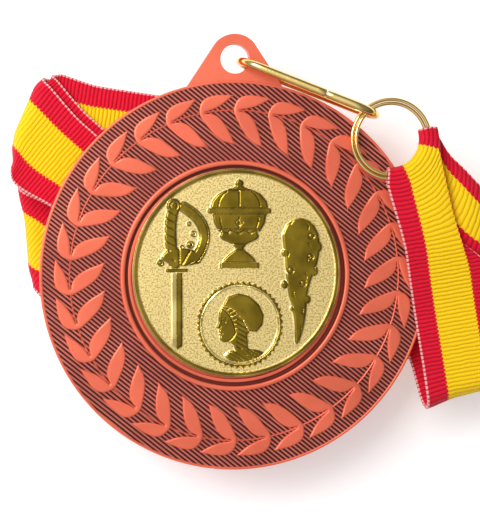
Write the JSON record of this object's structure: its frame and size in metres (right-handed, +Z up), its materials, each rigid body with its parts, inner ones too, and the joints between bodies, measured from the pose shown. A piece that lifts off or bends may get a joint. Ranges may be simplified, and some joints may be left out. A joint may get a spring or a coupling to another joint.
{
  "type": "award medal",
  "caption": "Round cast award medal with a leaf wreath border, a gold embossed centre disc, a wire link, a split ring and a striped neck ribbon.",
  "frame": {"origin": "centre of the part's box, on the surface that the folded ribbon lies on", "axes": "+Z up, out of the medal's face; +Y from the disc to its hanging tab; +X to the ribbon's side"},
  "size_m": [0.1078, 0.0522, 0.0158],
  "materials": {
    "coral_bronze": "antiqued copper-bronze plating, satin",
    "white_pad": "matte foam tape",
    "gold_foil": "embossed gold, polished rim and frosted field",
    "gold_wire": "polished gold plating",
    "woven_ribbon": "ribbed grosgrain weave, red with a yellow middle"
  },
  "bodies": {
    "ribbon": {"ribbon_hank": "woven_ribbon", "ribbon_tail": "woven_ribbon", "ribbon_front_arm": "woven_ribbon", "ribbon_right_arm": "woven_ribbon", "ribbon_ring_fold": "woven_ribbon"},
    "ring": {"split_ring": "gold_wire"},
    "link": {"wire_link": "gold_wire"},
    "medal": {"medal_body": "coral_bronze", "emblem_adhesive": "white_pad", "emblem_disc": "gold_foil"}
  },
  "joints": [
    {"name": "ring_turn", "type": "hinge", "parent": "ribbon", "child": "ring", "pos_m": [-0.00772, 0.01355, 0.01296], "axis": [0, 0, 1], "range_deg": [-40, 0]},
    {"name": "link_swing", "type": "hinge", "parent": "ring", "child": "link", "pos_m": [-0.01076, 0.01687, 0.01296], "axis": [0, 0, 1], "range_deg": [-50, 0]},
    {"name": "medal_swing", "type": "hinge", "parent": "link", "child": "medal", "pos_m": [-0.02632, 0.02307, 0.01047], "axis": [0, 0, 1], "range_deg": [-180, 0]}
  ]
}
